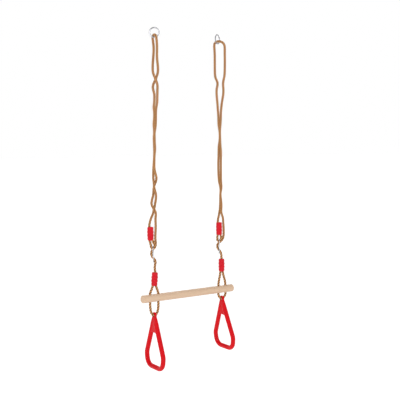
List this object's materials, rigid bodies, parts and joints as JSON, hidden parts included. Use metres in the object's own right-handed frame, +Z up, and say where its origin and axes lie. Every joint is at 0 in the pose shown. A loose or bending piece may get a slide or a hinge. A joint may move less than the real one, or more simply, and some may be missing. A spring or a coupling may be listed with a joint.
{
  "type": "trapeze bar with hand rings",
  "caption": "Wooden trapeze bar hung from steel rings by doubled adjustable ropes, with a triangular hand ring on the rope loop under each end of the bar.",
  "frame": {"origin": "point of the left steel ring, at the top of its eye, that bears on its hook", "axes": "+X along the bar from the left rope to the right rope, +Y the depth, the way the trapeze swings, +Z up"},
  "size_m": [0.4414, 0.1346, 1.314],
  "materials": {
    "steel": "polished steel wire",
    "rope": "three-strand laid rope, golden brown",
    "sleeve_red": "ribbed moulded plastic",
    "adjuster_metal": "satin stamped plate",
    "beech": "sanded pale beech",
    "handle_red": "glossy moulded plastic"
  },
  "bodies": {
    "hangers": {"left_ring": "steel", "right_ring": "steel"},
    "trapeze": {"trapeze_bar": "beech", "left_rope": "rope", "left_rope_tail": "rope", "left_upper_sleeve": "sleeve_red", "left_lower_sleeve": "sleeve_red", "left_adjuster": "adjuster_metal", "right_rope": "rope", "right_rope_tail": "rope", "right_upper_sleeve": "sleeve_red", "right_lower_sleeve": "sleeve_red", "right_adjuster": "adjuster_metal"},
    "left_loop": {"left_rope_loop": "rope"},
    "right_loop": {"right_rope_loop": "rope"},
    "left_hand_ring": {"left_handle": "handle_red"},
    "right_hand_ring": {"right_handle": "handle_red"}
  },
  "joints": [
    {"name": "trapeze_swing", "type": "hinge", "parent": "hangers", "child": "trapeze", "pos_m": [0.151, 0, -0.03325], "axis": [1, 0, 0], "range_deg": [-60, 60]},
    {"name": "left_loop_twist", "type": "hinge", "parent": "trapeze", "child": "left_loop", "pos_m": [-0.0185, 0, -1.04345], "axis": [0, 0, 1], "range_deg": [-40, 40]},
    {"name": "left_hand_ring_swing", "type": "hinge", "parent": "left_loop", "child": "left_hand_ring", "pos_m": [-0.0185, 0, -1.09465], "axis": [1, 0, 0], "range_deg": [-85, 85]},
    {"name": "right_loop_twist", "type": "hinge", "parent": "trapeze", "child": "right_loop", "pos_m": [0.3145, 0, -1.05145], "axis": [0, 0, 1], "range_deg": [-25, 25]},
    {"name": "right_hand_ring_swing", "type": "hinge", "parent": "right_loop", "child": "right_hand_ring", "pos_m": [0.3145, 0, -1.07425], "axis": [0.9978, 0, 0.0663], "range_deg": [-85, 85]}
  ]
}
